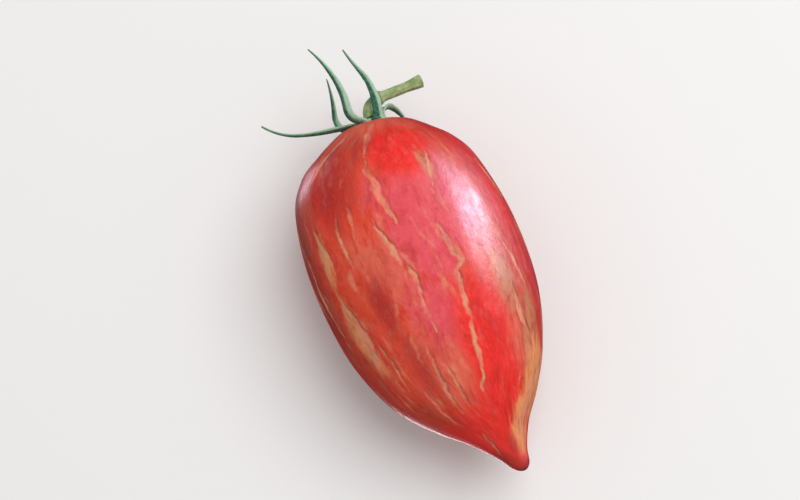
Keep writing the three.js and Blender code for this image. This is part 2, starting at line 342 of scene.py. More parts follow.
def inside_stripes(stripes, shift_along=0, shift_around=0, wider=0):
    """The most, in mm, that each point lies inside a stripe's edge, or less than 0 outside.
    The stripes can be shifted and widened, also in mm."""
    local = np.maximum(radius, 1)
    best = np.full(station.shape, -FAR)
    for stripe in stripes:
        near = np.abs(station - stripe[:, 0].mean()) < np.ptp(stripe[:, 0]) / 2 + FAR
        reach = local[near]
        here = best[near]
        for start, end in zip(stripe[:-1], stripe[1:]):
            ahead = station[near] - shift_along - start[0]
            turn = angle[near] - shift_around / reach - start[1]
            aside = ((turn + np.pi) % (2 * np.pi) - np.pi) * reach
            step, side_step = end[0] - start[0], (end[1] - start[1]) * reach
            size = np.maximum(step**2 + side_step**2, 1e-6)
            share = np.clip((ahead * step + aside * side_step) / size, 0, 1)
            gap = np.hypot(ahead - share * step, aside - share * side_step)
            here = np.maximum(here, start[2] + (end[2] - start[2]) * share + wider - gap)
        best[near] = here
    return best


def with_ends(field):
    """A field over the rings, with a value for each of the two end points added."""
    return np.concatenate([field.ravel(), [field[0].mean(), field[-1].mean()]])


# %% Store the stripes, and the painted shadow line that runs beside them on one side
# the painted shadow line is the stripes moved a little aside and widened
SHADOW_ALONG, SHADOW_AROUND, SHADOW_WIDER = -0.15, -0.4, 0.1  # mm
stripe_field = inside_stripes(torn_stripes)
shadow_line_field = inside_stripes(torn_stripes, SHADOW_ALONG, SHADOW_AROUND, SHADOW_WIDER)
add_field(berry, "stripe", with_ends(stripe_field))
add_field(berry, "line", with_ends(shadow_line_field))
add_field(berry, "faint", with_ends(inside_stripes(faint_streaks)))
print("skin inside a stripe:", round(float((stripe_field > 0).mean()) * 100, 1), "per cent")

# %% [markdown]
# ## Where the colour pools
#
# A ripe striped tomato is not one red. It is orange-red in places, rosy and deeper red in
# others, and golden beside the broad stripes. Some of its colour is painted light: brown
# and crimson pools are painted shade that darkens the flanks, most on the side away from
# the light, deep red pools on the left flank add to that shade, and some rosy pools are
# painted sheen round the highlight and along the rims. Each such pool is soft, some five
# to forty millimetres across, so it can be stored on the mesh as a weight, and the shader
# breaks its edge up.

# %% Pools of colour
# Each is the distance from the rim in mm, degrees round, the reach along and round in mm,
# and a strength.
POOLS = {
    "warm": [
        (24, 30, 18, 16, 1), (49, 36, 14, 9, 1), (4, -8, 7, 20, 0.3), (84, 12, 16, 12, 0.7),
        (66, 30, 16, 10, 0.7),
    ],
    "coral": [
        (43, 14, 12, 8, 0.8), (38, 26, 9, 5, 0.6), (74, 6, 12, 8, 0.7), (4, 22, 5, 9, 1),
        (3, -20, 5, 14, 1), (60, -40, 12, 5, 0.6), (64, 18, 9, 6, 0.5), (20, -36, 8, 6, 0.6),
        (76, -44, 10, 5, 0.7),
    ],
    # rosy pools, some laid round the highlight and along the flank rims as painted sheen
    "rose_and_sheen": [
        (36, -10, 18, 11, 1), (58, 2, 14, 8, 0.7), (30, -32, 16, 8, 0.9), (24, 4, 8, 8, 0.6),
        (40, -76, 18, 6, 0.6), (88, 74, 12, 4, 1),
    ],
    # brown pools on the left flank: painted shade on the side away from the light
    "shade_brown": [
        (34, 72, 40, 7, 0.7), (66, 68, 30, 5, 0.5), (54, 40, 10, 4, 0.3), (84, 54, 10, 7, 0.4),
        (18, 60, 10, 8, 0.4),
    ],
    # crimson pools along both flanks: painted shade that darkens the edges
    "edge_shade": [
        (34, 98, 46, 12, 0.8), (70, 92, 26, 10, 0.8), (36, -92, 50, 17, 1), (12, -78, 14, 10, 0.7),
    ],
    # deep red pools: those on the left flank are painted shade, the rest darker patches
    "deep_and_shade": [
        (16, 32, 14, 9, 0.7), (10, 12, 7, 4, 0.5), (52, 27, 12, 4, 0.6), (30, 60, 26, 6, 0.3),
        (62, 58, 30, 5, 0.3), (70, 24, 15, 4, 0.5), (84, 44, 12, 5, 0.4), (97, 60, 9, 9, 0.3),
        (99, -14, 6, 2.5, 0.5), (106, 45, 8, 4, 1), (108, -40, 5, 9, 1),
    ],
    "vivid": [
        (13, -18, 9, 9, 1), (68, -22, 16, 8, 1), (82, -24, 18, 8, 1), (20, 38, 10, 6, 0.6),
        (96, 20, 11, 16, 1), (95, 52, 9, 7, 0.9), (30, -70, 20, 7, 0.7),
    ],
    "olive": [
        (58, -46, 10, 4, 0.7), (70, -60, 13, 5, 0.7), (78, -62, 8, 4, 0.4), (84, 40, 7, 2.5, 0.3),
        (20, -28, 6, 2, 0.7),
    ],
    "gold": [
        (57, 51, 11, 3.5, 0.9), (34, 51, 9, 2.5, 0.7), (84, -66, 10, 6, 1), (94, -46, 7, 3.5, 1),
        (99, -42, 4, 2.5, 0.7),
    ],
}
MORE_POOLS = 36  # by chance, on the underside
for _ in range(MORE_POOLS):
    kind = chance.choice(list(POOLS))
    usual = 5 if kind in ("olive", "gold") else 10
    at, turn, reach = chance.uniform(10, 92), chance.uniform(100, 260), chance.uniform(10, 26)
    breadth, strength = chance.uniform(0.6, 1.3) * usual, chance.uniform(0.5, 0.9)
    POOLS[kind].append((at, turn, reach, breadth, strength))

for kind, places in POOLS.items():
    weight = np.zeros_like(station)
    for at, turn, reach, breadth, strength in places:
        away = (angle - math.radians(turn) + np.pi) % (2 * np.pi) - np.pi
        far = ((station - at) / reach) ** 2 + (away * np.maximum(radius, 3) / breadth) ** 2
        weight = np.maximum(weight, strength * np.exp(-far))
    add_field(berry, kind, with_ends(weight))
    print("pool:", kind, "covers", round(float((weight > 0.3).mean()) * 100), "per cent")

# %% Places that the grain of the skin follows
# Noise that is read in these places runs from stalk to beak, and it closes round the berry.
unrolled = np.stack([RADIUS * np.cos(angle), RADIUS * np.sin(angle), station], axis=-1)
tips = [(0, 0, stations[0]), (0, 0, LENGTH)]
add_field(berry, "unrolled", np.vstack([unrolled.reshape(-1, 3), tips]))
add_field(berry, "along", with_ends(station))
add_field(berry, "off_axis", with_ends(radius))
print("fields on the berry:", len(berry.data.attributes))

# %% [markdown]
# ## One function for nodes
#
# Each finish below is a small graph of nodes. One function adds a node, sets it up, and
# fills or links its inputs, so each graph reads in the order in which it is worked out.

# %% Node helper
def start_material(name):
    """A new material without nodes, and its node tree."""
    material = bpy.data.materials.new(name)
    material.use_nodes = True
    material.node_tree.nodes.clear()
    return material, material.node_tree


def node(kind, *values, wires=(), out=None, **settings):
    """Adds a node to the tree in hand. The settings go on the node itself, the values go
    into its inputs in order, and the wires into inputs by name. It gives back an output."""
    made = tree.nodes.new("ShaderNode" + kind)
    for key, value in settings.items():
        setattr(made, key, value)
    pairs = list(zip([socket for socket in made.inputs if socket.enabled], values))
    pairs += [(made.inputs[key], value) for key, value in dict(wires).items()]
    for socket, value in pairs:
        if isinstance(value, bpy.types.NodeSocket):
            tree.links.new(value, socket)
        else:
            socket.default_value = value
    return made.outputs[out] if out else next((s for s in made.outputs if s.enabled), None)


# %% [markdown]
# ## Tomato skin
#
# The real surface is a thin, tough skin without pores, under a film of wax. The eye gets
# two things from it: a deep, slightly translucent colour from the flesh behind, and a
# clear but soft gloss. The shader has a red base with some light scattered under the
# skin, a broad gloss from the skin itself, and a fainter, sharper one from the wax.
# The colour isn't even at any scale: pools of a few centimetres, blotches of a few
# millimetres, streaks from stalk to beak and a speckle finer than a millimetre.

# %% Tomato skin, colours
RIPE_RED = linear("#DA3829")
WARM_RED = linear("#E0421E")
DEEP_RED = linear("#AC1E14")
VIVID_RED = linear("#EE1810")
# rose, partly painted sheen round the highlight and on the rims
ROSE_AND_SHEEN = linear("#DE4956")
CORAL = linear("#E06149")
# brown for painted shade on the flank away from the light
SHADE_BROWN = linear("#A83A26")
# crimson for painted shade along the flanks
EDGE_SHADE_RED = linear("#D0222B")
OLIVE = linear("#C67A50")
GOLD = linear("#F09C62")
SALMON = linear("#EC7C64")
STRIPE_CORAL = linear("#EA866A")
STRIPE_TAN = linear("#DE9A6E")
# dark red-brown of the painted shadow line beside the stripes
STRIPE_SHADOW = linear("#86342A")
CORK = linear("#8A7B46")
SCAR = linear("#5A3B26")

# %% Tomato skin, the grains that it is built from
skin, tree = start_material("waxy_tomato_skin")
around_fruit = node("Attribute", attribute_name="unrolled", out="Vector")
drift = node("TexNoise", around_fruit, 1 / 16, 1.0, out="Color")  # bends every 16 mm or so
bent = node("VectorMath", drift, (7, 7, 0), around_fruit, operation="MULTIPLY_ADD")


def grain(width, stretch, detail=2.0, seed=0.0, roughness=0.5):
    """Noise whose cells are that wide in mm, and that many times longer towards the beak."""
    cell = (1 / width, 1 / width, 1 / (width * stretch))
    places = node("Mapping", bent, (seed, seed, seed), (0, 0, 0), cell)
    return node("TexNoise", places, 1.0, detail, roughness)


clouds = grain(11, 1.6, 3, 8)
washes = grain(4.6, 2, 4, 41, 0.62)
blotches = grain(2.4, 1.5, 4, 3, 0.65)
streaks = grain(1.7, 6, 3, 5, 0.6)
mottle = grain(0.9, 1.3, 3, 17, 0.75)

# %% Tomato skin, pools and blotches of red
POOL_STARTS, POOL_FULL, POOL_MOST = 0.75, 1.25, 0.9


def pool(kind):
    """Where a pool of colour lies, with its edge broken up by blotches and streaks."""
    ragged = node("Attribute", attribute_name=kind, out="Fac")
    for grains, share in [(blotches, 0.7), (streaks, 0.5)]:
        ragged = node("Math", grains, share, ragged, operation="MULTIPLY_ADD")
    bounds = (POOL_STARTS, POOL_FULL, 0.0, POOL_MOST)
    return node("MapRange", ragged, *bounds, interpolation_type="SMOOTHSTEP")


def layered(under, layers):
    """The colour under, with each hue laid over it where its source is high, or low."""
    for source, start, full, most, hue in layers:
        amount = node("MapRange", source, start, full, 0.0, most)
        under = node("Mix", amount, under, hue, data_type="RGBA")
    return under


colour = node("Mix", node("MapRange", clouds, 0.4, 0.6), RIPE_RED, WARM_RED, data_type="RGBA")
colour = layered(colour, [
    (washes, 0.5, 0.68, 0.45, CORAL), (streaks, 0.55, 0.72, 0.4, SALMON),
    (blotches, 0.52, 0.7, 0.4, SALMON),
])
pools = {kind: pool(kind) for kind in POOLS}
# the brown, crimson and some deep red pools lay painted shade, and some rosy pools painted sheen
for kind, hue in [
    ("warm", WARM_RED), ("coral", CORAL), ("rose_and_sheen", ROSE_AND_SHEEN), ("shade_brown", SHADE_BROWN), ("edge_shade", EDGE_SHADE_RED),
    ("vivid", VIVID_RED), ("olive", OLIVE), ("gold", GOLD), ("deep_and_shade", DEEP_RED),
]:
    colour = node("Mix", pools[kind], colour, hue, data_type="RGBA")
colour = layered(colour, [
    (washes, 0.48, 0.3, 0.5, DEEP_RED), (streaks, 0.44, 0.3, 0.35, DEEP_RED),
    (blotches, 0.48, 0.3, 0.35, DEEP_RED), (blotches, 0.54, 0.7, 0.2, SALMON),
    (mottle, 0.54, 0.74, 0.18, SALMON), (mottle, 0.46, 0.28, 0.16, DEEP_RED),
])

# %% Tomato skin, stripes and scars
# The edge of a stripe is torn by noise, and a thin dark line of painted shadow lies
# beside parts of one side. Its gold wanders between coral and tan, and thins out in places.
EDGE_TEAR = 1.5  # mm, between the furthest out and the furthest in that noise moves an edge
CORK_RADII = 8.2, 5.6  # mm off the axis, where the cork round the pit starts and is full
SCAR_RADII = 3.2, 2.0  # the same, for the scar on the beak
torn_edge = grain(0.9, 2.2, 4, 23, 0.7)
tear = node("Math", torn_edge, EDGE_TEAR, -EDGE_TEAR / 2, operation="MULTIPLY_ADD")
hue_drift = node("MapRange", grain(5, 2, 3, 37), 0.4, 0.62)
stripe_hue = node("Mix", hue_drift, STRIPE_CORAL, STRIPE_TAN, data_type="RGBA")
stripe_hue = layered(stripe_hue, [(mottle, 0.5, 0.3, 0.3, OLIVE)])
thinner, breaks = grain(2.6, 2, 4, 31, 0.6), grain(3, 3, 2, 29)
marks = {}
for kind, starts, full, grains, low, high, least, most in [
    ("faint", -0.5, 0.6, thinner, 0.42, 0.62, 0.05, 0.55),
    ("line", -0.3, 0.25, breaks, 0.42, 0.6, 0.0, 0.65),
    ("stripe", -0.3, 0.45, thinner, 0.36, 0.58, 0.3, 0.95),
]:
    inside = node("Attribute", attribute_name=kind, out="Fac")
    inside = node("Math", inside, tear, operation="ADD")
    inside = node("MapRange", inside, starts, full, interpolation_type="SMOOTHSTEP")
    strength = node("MapRange", grains, low, high, least, most)
    marks[kind] = node("Math", inside, strength, operation="MULTIPLY")
not_vivid = node("Math", 1.0, pools["vivid"], operation="SUBTRACT")
faint = node("Math", marks["faint"], not_vivid, operation="MULTIPLY")
gold = marks["stripe"]
# the line is painted shadow beside the stripes
for amount, hue in [(faint, stripe_hue), (marks["line"], STRIPE_SHADOW), (gold, stripe_hue)]:
    colour = node("Mix", amount, colour, hue, data_type="RGBA")

along = node("Attribute", attribute_name="along", out="Fac")
pit_side = node("Math", along, LENGTH / 2, operation="LESS_THAN")
beak_side = node("Math", 1.0, pit_side, operation="SUBTRACT")
off_axis = node("Attribute", attribute_name="off_axis", out="Fac")
off_axis = node("Math", streaks, 2.4, off_axis, operation="MULTIPLY_ADD")
corky = node("MapRange", off_axis, *CORK_RADII, interpolation_type="SMOOTHSTEP")
corky = node("Math", corky, pit_side, operation="MULTIPLY")
scar = node("MapRange", off_axis, *SCAR_RADII, interpolation_type="SMOOTHSTEP")
scar = node("Math", scar, beak_side, operation="MULTIPLY")
colour = node("Mix", corky, colour, CORK, data_type="RGBA")
colour = node("Mix", scar, colour, SCAR, data_type="RGBA")
print("skin nodes for the colour:", len(tree.nodes))

# %% Tomato skin, gloss and relief
# The wax lies in patches, so its sharper gloss comes and goes, and the broad gloss is a
# little duller on the blotches and the stripes.
WAVE_RELIEF, SPECKLE_RELIEF = 0.14 * MM, 0.04 * MM
dull = node("Math", blotches, 0.3, 0.28, operation="MULTIPLY_ADD")
dull = node("Math", gold, 0.08, dull, operation="MULTIPLY_ADD")
rough_spots = node("Math", node("Math", corky, scar, operation="ADD"), 0.8, operation="MULTIPLY")
dull = node("Math", dull, rough_spots, operation="MAXIMUM")
wax = node("MapRange", blotches, 0.4, 0.6, 0.0, 0.35)
height = node("Math", streaks, 0.25, blotches, operation="MULTIPLY_ADD")
height = node("Math", gold, 0.2, height, operation="MULTIPLY_ADD")
normal = node("Bump", wires={"Height": height, "Distance": WAVE_RELIEF})
normal = node("Bump", wires={"Height": mottle, "Distance": SPECKLE_RELIEF, "Normal": normal})
shader = node(
    "BsdfPrincipled",
    wires={
        "Base Color": colour,
        "Roughness": dull,
        "IOR": 1.45,
        "Subsurface Weight": 0.1,
        "Subsurface Radius": (1.0, 0.25, 0.12),
        "Subsurface Scale": 3 * MM,
        "Coat Weight": wax,
        "Coat Roughness": 0.26,
        "Coat IOR": 1.5,
        "Normal": normal,
    },
)
node("OutputMaterial", shader)
berry.data.materials.append(skin)
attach(berry, "root")
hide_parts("berry")
print("skin nodes:", len(tree.nodes))

# %% [markdown]
# ## The calyx
#
# The calyx is a green star of thin, pointed sepals that grow from a small disc. Each one
# is folded along its midrib, leaves the disc low, curls up as the fruit ripens, bows back
# and runs out to a fine tip. The middle lines are the solid model's own. Each blade is a
# sweep with a slightly wavy edge, and then all of them and the disc are remeshed into one
# skin, which gives the soft webs between neighbours that separate parts wouldn't have.

# %% Measures of the calyx
DISC = [(0, 0.35), (3, 0.7), (4.2, 1.3), (4.3, 1.9), (3.4, 2.5), (2.5, 2.6), (0, 2.6)]
SEPAL_ROOT, SEPAL_HEIGHT = 2.8, 1.8
SEPAL_THICK, SEPAL_THIN = 1.0, 0.65
SEPAL_TIP, SEPAL_TAPER = 0.1, 0.95  # share of the width left at the tip, and how it narrows
SEPAL_FOLD = 0.32
MIDRIB_HEIGHT, MIDRIB_WIDTH = 0.35, 0.16  # mm, and share of the half width
SEPAL_BENDS_AT = [0, 0.12, 0.3, 0.6, 1]  # shares of a blade's length
SEPALS = [  # degrees round, length, width, bends in degrees, sway and twist
    (-32, 25.5, 3.4, (62, 76, 100, 129, 114), -2, -10),
    (46, 28.5, 3.6, (4, 18, 98, 74, 52), -4.2, 62),
    (94, 30, 3.4, (2, 2, 2, 9, 44), 1.5, 25),
    (136, 26.5, 3.4, (0, 0, 8, 112, 98), 3.5, -50),
    (181, 24, 4.2, (8, 9, 12, 20, 34), 2, 12),
    (224, 13.5, 5.0, (84, 68, 34, -35, -80), -1.5, -10),
]
PIT_DEPTH = HALF_SECTION[0][0] * LENGTH


def from_pit(points):
    """From the pit's own frame, with X straight out of it, to how the fruit lies."""
    turn = -math.atan(SHOULDER_SLOPE)
    c, s = math.cos(turn), math.sin(turn)
    x, y, z = points[..., 0], points[..., 1], points[..., 2]
    turned = np.stack([x * c - y * s, x * s + y * c, z], axis=-1)
    return lay(turned + grow(np.array(PIT_DEPTH), np.array(0.0), np.array(0.0)))


def sepal_line(sepal, steps):
    """Shares along a blade, its middle points, and its across and up directions."""
    around, length, width, bends, sway, twist = sepal
    turn = math.radians(around)
    outward = np.array([1.0, 0, 0])
    radial = np.array([0, math.sin(turn), math.cos(turn)])
    aside = np.cross(outward, radial)
    share = np.linspace(0, 1, steps + 1)
    bend = np.radians(np.interp(share, SEPAL_BENDS_AT, bends))
    along = np.cos(bend)[:, None] * radial + np.sin(bend)[:, None] * outward
    middle = np.cumsum(np.vstack([np.zeros(3), (along[1:] + along[:-1]) / 2 * length / steps]), 0)
    middle += SEPAL_ROOT * radial + SEPAL_HEIGHT * outward
    middle += sway * share[:, None] ** 2 * aside
    rolled = np.radians(twist) * share[:, None]
    across = np.cos(rolled) * aside + np.sin(rolled) * np.cross(along, aside)
    return share, middle, across, np.cross(along, across)


# %% Grow the sepals and the disc
SEPAL_STEPS = 110
HALF_PROFILE = 9
EDGE_WAVES = 0.02  # share of the width
BROAD_WAVES, FINE_WAVES = 19, 41  # radians along a blade
DISC_SIDES = 64
DISC_ROUND, DISC_LOBE, LOBE_SHARPNESS = 0.94, 0.12, 6  # shares of the disc's radius


def blade(sepal):
    """Rings of a blade with its fold, its raised midrib and its slightly wavy edges."""
    share, middle, across, up = sepal_line(sepal, SEPAL_STEPS)
    half = sepal[2] / 2 * (SEPAL_TIP + (1 - SEPAL_TIP) * (1 - share) ** SEPAL_TAPER)
    phase = chance.uniform(0, 6, 4)
    side = np.linspace(-1, 1, 2 * HALF_PROFILE + 1)
    fold = SEPAL_FOLD * half[:, None] * np.sin(np.pi * np.minimum(share * 1.4, 1) ** 0.8)[:, None]
    lift = fold * np.abs(side) ** 1.2
    wave = np.sin(share[:, None] * BROAD_WAVES + np.where(side > 0, phase[0], phase[1]))
    wave += 0.6 * np.sin(share[:, None] * FINE_WAVES + np.where(side > 0, phase[2], phase[3]))
    lift = lift + EDGE_WAVES * sepal[2] * wave * np.abs(side) ** 3 * np.sin(np.pi * share)[:, None]
    reach = half[:, None] * side * (1 + EDGE_WAVES * 0.8 * wave * np.abs(side))
    thick = (SEPAL_THICK + (SEPAL_THIN - SEPAL_THICK) * share)[:, None]
    thick = thick * (0.55 + 0.45 * (1 - side**2) ** 0.5)
    rib = MIDRIB_HEIGHT * np.exp(-((side / MIDRIB_WIDTH) ** 2)) * (1 - share[:, None]) ** 0.6
    under = lift - thick / 2 - rib
    over = lift + thick / 2 - 0.3 * rib
    sides = np.concatenate([reach, reach[:, ::-1]], 1)
    heights = np.concatenate([under, over[:, ::-1]], 1)
    return middle[:, None] + sides[..., None] * across[:, None] + heights[..., None] * up[:, None]


def disc_rings():
    """The disc as a turned piece, swollen a little towards each sepal."""
    turns = np.linspace(0, 2 * np.pi, DISC_SIDES, endpoint=False)
    away = [turns - math.radians(sepal[0]) for sepal in SEPALS]
    swell = sum(np.exp(LOBE_SHARPNESS * (np.cos(turn) - 1)) for turn in away)
    rings = []
    for reach, height in DISC[1:-1]:
        reach = reach * (DISC_ROUND + DISC_LOBE * swell)
        level = np.full(DISC_SIDES, height)
        rings.append(np.stack([level, reach * np.sin(turns), reach * np.cos(turns)], 1))
    return np.array(rings)


blades = [blade(sepal) for sepal in SEPALS]
print("blades:", len(blades), "of", len(blades[0]), "rings each")

# %% Join the sepals to the disc
CALYX_VOXEL = 0.2


def joined(parts):
    """The points and faces of several parts as those of one."""
    points, faces, start = [], [], 0
    for part_points, part_faces in parts:
        points.append(part_points)
        faces += [tuple(start + i for i in face) for face in part_faces]
        start += len(part_points)
    return np.vstack(points), faces


def face_outwards(piece):
    """Turns every face of a closed mesh to face out."""
    shell = bmesh.new()
    shell.from_mesh(piece.data)
    bmesh.ops.recalc_face_normals(shell, faces=shell.faces)
    shell.to_mesh(piece.data)
    shell.free()


def apply_modifiers(piece):
    """Puts what a piece's modifiers make into its own mesh."""
    bpy.context.view_layer.update()
    changed = piece.evaluated_get(bpy.context.evaluated_depsgraph_get())
    made = bpy.data.meshes.new_from_object(changed)
    piece.modifiers.clear()
    piece.data = made
    made.shade_smooth()


calyx_points, calyx_faces = joined([loft(from_pit(rings)) for rings in blades + [disc_rings()]])
calyx = make_piece("tomato_calyx", calyx_points, calyx_faces)
face_outwards(calyx)
remesh = calyx.modifiers.new("join", "REMESH")
remesh.mode = "VOXEL"
remesh.voxel_size = CALYX_VOXEL * MM
settle = calyx.modifiers.new("settle", "SMOOTH")
settle.factor = 0.5
settle.iterations = 3
apply_modifiers(calyx)
print("calyx:", len(calyx.data.vertices), "points,", len(calyx.data.polygons), "faces")

# %% Which part of a sepal each point is on
LIT_SIDE = np.array([0.6, -0.8, 0])  # the half of each blade towards here is painted paler, as painted light
LINE_STEPS = 60
calyx_now = np.array([v.co for v in calyx.data.vertices]) / MM
rows = np.arange(len(calyx_now))
nearest = np.full(len(calyx_now), np.inf)
fields = {key: np.zeros(len(calyx_now)) for key in ("share", "toward_lit_side")}
for sepal in SEPALS:
    share, middle = sepal_line(sepal, LINE_STEPS)[:2]
    middle = from_pit(middle)
    ahead = np.gradient(middle, axis=0)
    ahead /= np.linalg.norm(ahead, axis=1)[:, None]
    toward_lit_side = LIT_SIDE - (ahead @ LIT_SIDE)[:, None] * ahead
    toward_lit_side /= np.linalg.norm(toward_lit_side, axis=1)[:, None]
    gap = calyx_now[:, None] - middle[None]
    distance = np.linalg.norm(gap, axis=2)
    closest = distance.argmin(1)
    off_line = (gap[rows, closest] * toward_lit_side[closest]).sum(1)
    better = distance[rows, closest] < nearest
    nearest = np.where(better, distance[rows, closest], nearest)
    for key, found in (("share", share[closest]), ("toward_lit_side", off_line)):
        fields[key] = np.where(better, found, fields[key])
for key, values in fields.items():
    add_field(calyx, key, values)
add_field(calyx, "place", calyx_now)
print("furthest from a middle line:", round(float(nearest.max()), 1), "mm")

# %% [markdown]
# ## Sepal leaf
#
# A sepal is a thin leaf: dull green cells under a fine down, a paler midrib, faint veins,
# and light that comes through its thin edges. The half of each blade towards the light is
# painted a greyish green as painted light, and the other half is painted dark as painted
# shade. The surface is dull, with a little light scattered inside, and the down gives it a
# soft sheen.

# %% Sepal leaf, colours and cells
# the dark green is the half in painted shade, the pale greyish green is painted light
LEAF_SHADED_DARK = linear("#174A3C")
LEAF_MID = linear("#2F6B52")
LEAF_LIT_PALE = linear("#A3C0A4")
LEAF_RIB = linear("#7FA27C")
LEAF_TIP = linear("#5C7A5C")

leaf, tree = start_material("downy_sepal_leaf")
place = node("Attribute", attribute_name="place", out="Vector")


def cells(size, detail=2.0, seed=0.0):
    """Noise with cells of that size in mm, in the piece's own places."""
    return node("TexNoise", node("Mapping", place, (seed, 0, 0)), 1 / size, detail)


# %% Sepal leaf, midrib, veins, and the painted lit and shaded halves
# The veins leave the midrib at a slant, so a slanted wave draws them.
BLADE_LENGTH = 27.0  # mm, of a usual sepal
VEIN_PACE = 3.1  # radians a mm, which gives a vein every 2 mm
toward_lit_side = node("Attribute", attribute_name="toward_lit_side", out="Fac")
across = node("Math", toward_lit_side, operation="ABSOLUTE")
along = node("Attribute", attribute_name="share", out="Fac")
along = node("Math", along, BLADE_LENGTH, operation="MULTIPLY")
midrib = node("MapRange", across, 0.3, 0.1, 0.0, 0.35)
slant = node("Math", across, -0.8, along, operation="MULTIPLY_ADD")
slant = node("Math", cells(2.2), 1.2, slant, operation="MULTIPLY_ADD")
vein = node("Math", slant, VEIN_PACE, operation="MULTIPLY")
vein = node("Math", vein, operation="SINE")
vein = node("MapRange", vein, 0.7, 0.98)
# the half towards the light is painted pale as painted light
wavering = node("Math", cells(1.6, 2, 20), 0.5, toward_lit_side, operation="MULTIPLY_ADD")
painted_lit_half = node("MapRange", wavering, 0.2, 0.5, 0.0, 0.9, interpolation_type="SMOOTHSTEP")
tip = node("MapRange", along, BLADE_LENGTH - 2.5, BLADE_LENGTH, 0.0, 0.5)
faint_vein = node("Math", vein, 0.2, operation="MULTIPLY")

patches = node("MapRange", cells(1.5, 4, 30), 0.36, 0.66)
colour = node("Mix", patches, LEAF_SHADED_DARK, LEAF_MID, data_type="RGBA")
for amount, hue in [
    (painted_lit_half, LEAF_LIT_PALE), (faint_vein, LEAF_RIB), (midrib, LEAF_RIB), (tip, LEAF_TIP),
]:
    colour = node("Mix", amount, colour, hue, data_type="RGBA")

# %% Sepal leaf, surface
VEIN_RELIEF = 0.09 * MM
raised_vein = node("Math", vein, 0.6, operation="MULTIPLY")
height = node("Math", cells(0.5, 3, 60), 0.6, raised_vein, operation="MULTIPLY_ADD")
shader = node(
    "BsdfPrincipled",
    wires={
        "Base Color": colour,
        "Roughness": 0.55,
        "IOR": 1.42,
        "Subsurface Weight": 0.12,
        "Subsurface Radius": (0.5, 1.0, 0.3),
        "Subsurface Scale": 0.8 * MM,
        "Sheen Weight": 0.2,
        "Sheen Roughness": 0.4,
        "Sheen Tint": linear("#DDE8CC"),
        "Normal": node("Bump", wires={"Height": height, "Distance": VEIN_RELIEF}),
    },
)
node("OutputMaterial", shader)
calyx.data.materials.append(leaf)
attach(calyx, "root")
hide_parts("calyx")
print("leaf nodes:", len(tree.nodes))

# %% [markdown]
# ## The fruit stalk
#
# A tomato hangs from a stalk with a knuckle part of the way along, where it would drop.
# The stalk is green, a little ribbed, and flares where it meets the calyx and where it
# was cut. It is swept along the solid model's own line, with shallow ribs, a groove
# round the knuckle, and a cut face that is slightly dished.

# %% Grow the stalk
STALK_LINE = [
    (3.3, 0.6, 0), (5, 0.75, -0.1), (6.8, 0.1, -0.6), (8.3, -2.4, -1.5), (9.2, -6.4, -2.7),
    (10.1, -10.8, -4), (11.1, -15.6, -5),
]
STALK_RADIUS, STALK_FOOT, STALK_END = 1.45, 0.6, 0.45  # mm, and how much each end flares
FOOT_REACH, END_STARTS = 0.09, 0.75  # shares of the stalk's length
KNUCKLE_AT, KNUCKLE_SWELL, KNUCKLE_REACH = 0.34, 0.75, 0.06
STALK_STEPS, STALK_SIDES = 150, 48
STALK_RIBS, RIB_DEPTH, RIBS_LOST = 7, 0.07, 0.05  # the last: how near the knuckle they fade
GROOVE_DEPTH, GROOVE_WIDTH = 0.28, 0.011


def stalk_rings():
    """Rings along the stalk, and its direction at each."""
    points = np.array(STALK_LINE, float)
    row = np.vstack([2 * points[0] - points[1], points, 2 * points[-1] - points[-2]])
    line = smooth_curve(row, STALK_STEPS, 2000)
    ahead = np.gradient(line, axis=0)
    ahead /= np.linalg.norm(ahead, axis=1)[:, None]
    side = np.cross(ahead, (0.0, 0, 1))
    side /= np.linalg.norm(side, axis=1)[:, None]
    up = np.cross(side, ahead)
    share = np.linspace(0, 1, STALK_STEPS + 1)[:, None]
    turn = np.linspace(0, 2 * np.pi, STALK_SIDES, endpoint=False)[None]
    off_knuckle = share - KNUCKLE_AT
    off_groove = off_knuckle - 0.006 * np.sin(turn)
    reach = STALK_RADIUS + STALK_FOOT * np.exp(-((share / FOOT_REACH) ** 2))
    reach = reach + KNUCKLE_SWELL * np.exp(-((off_knuckle / KNUCKLE_REACH) ** 2))
    reach = reach + STALK_END * smooth(share, END_STARTS, 1)
    reach = reach - GROOVE_DEPTH * np.exp(-((off_groove / GROOVE_WIDTH) ** 2))
    ribs = np.cos(STALK_RIBS * turn + 2.2 * np.sin(3 * share))
    ribs = ribs + 0.5 * np.cos(11 * turn + 5 * share)
    reach = reach + RIB_DEPTH * ribs * (1 - 0.6 * np.exp(-((off_knuckle / RIBS_LOST) ** 2)))
    around = np.cos(turn)[..., None] * side[:, None] + np.sin(turn)[..., None] * up[:, None]
    return line[:, None] + reach[..., None] * around, ahead


CUT = [  # share of the stalk's radius, mm past its end, and the share that the shader reads
    (0.9, 0.12, 1.05), (0.6, -0.1, 1.2), (0.25, -0.22, 1.4),
]
rings, ahead = stalk_rings()
end = rings[-1].mean(0)
cut_rings = [end + (rings[-1] - end) * wide + past * ahead[-1] for wide, past, _ in CUT]
stalk_points, stalk_faces = loft(from_pit(np.concatenate([rings, cut_rings])))
stalk = make_piece("tomato_stalk", stalk_points, stalk_faces)
face_outwards(stalk)
stalk_share = np.repeat(np.linspace(0, 1, STALK_STEPS + 1), STALK_SIDES)
cut_share = np.repeat([read for _, _, read in CUT], STALK_SIDES)
add_field(stalk, "share", np.concatenate([stalk_share, cut_share, [0, 1.5]]))
add_field(stalk, "place", stalk_points)
print("stalk:", len(stalk_points), "points")

# %% [markdown]
# ## Stalk skin
#
# The stalk's skin is a paler, yellower green than the sepals. It is ribbed, darker in the
# ring of the knuckle, and dull under its down. The cut end shows pale, moist fibres round
# a soft pith.

# %% Stalk skin, material
STALK_GREEN = linear("#A3B179")
STALK_DEEP = linear("#768E58")
STALK_PALE = linear("#C8CBA2")
CUT_FIBRE = linear("#D5D0A0")
DOWN_RELIEF = 0.06 * MM

